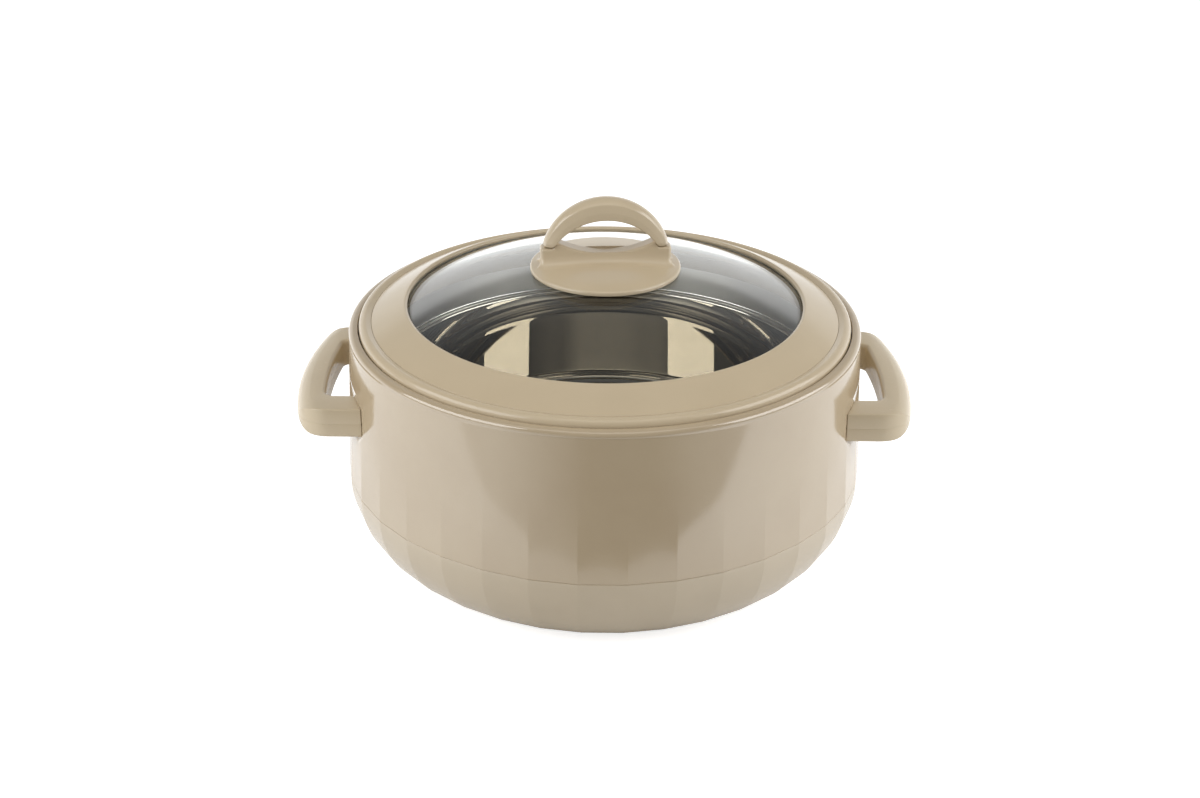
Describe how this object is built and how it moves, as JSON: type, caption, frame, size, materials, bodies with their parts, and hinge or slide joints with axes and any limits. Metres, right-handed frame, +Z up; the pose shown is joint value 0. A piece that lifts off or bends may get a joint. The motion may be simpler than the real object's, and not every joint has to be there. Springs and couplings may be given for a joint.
{
  "type": "casserole dish",
  "caption": "Round insulated serving casserole with a steel bowl in a plastic body, side loop handles and a lift-off glass lid with an arched knob.",
  "frame": {"origin": "middle of the flat underside, on the table", "axes": "+Z up through the knob, +X from handle to handle, -Y towards the viewer"},
  "size_m": [0.3172, 0.269, 0.1891],
  "materials": {
    "shell_plastic": "glossy taupe moulded plastic",
    "base_plastic": "glossy taupe moulded plastic",
    "lid_plastic": "satin taupe moulded plastic",
    "bowl_steel": "polished stainless sheet",
    "insulation_foam": "rigid foam",
    "silicone": "matte",
    "lid_glass": "clear, polished",
    "screw_steel": "zinc plated"
  },
  "bodies": {
    "pot": {"outer_shell": "shell_plastic", "base_cover": "base_plastic", "fill_plug": "base_plastic", "inner_bowl": "bowl_steel", "insulation": "insulation_foam", "rim_gasket": "silicone", "left_handle_grip": "shell_plastic", "left_handle_cover": "shell_plastic", "left_handle_screws": "screw_steel", "left_cover_screws": "screw_steel", "right_handle_grip": "shell_plastic", "right_handle_cover": "shell_plastic", "right_handle_screws": "screw_steel", "right_cover_screws": "screw_steel"},
    "lid": {"lid_ring": "lid_plastic", "lid_under_ring": "lid_plastic", "lid_glass": "lid_glass", "glass_gasket": "silicone", "lid_seal": "silicone", "knob_base": "lid_plastic", "knob_arch": "lid_plastic", "knob_arch_screws": "screw_steel", "knob_gasket": "silicone", "knob_screw": "screw_steel", "knob_washer": "screw_steel", "knob_seal_washer": "silicone"}
  },
  "joints": [
    {"name": "lid_lift", "type": "slide", "parent": "pot", "child": "lid", "axis": [0, 0, 1], "range_m": [0, 0.2]}
  ]
}
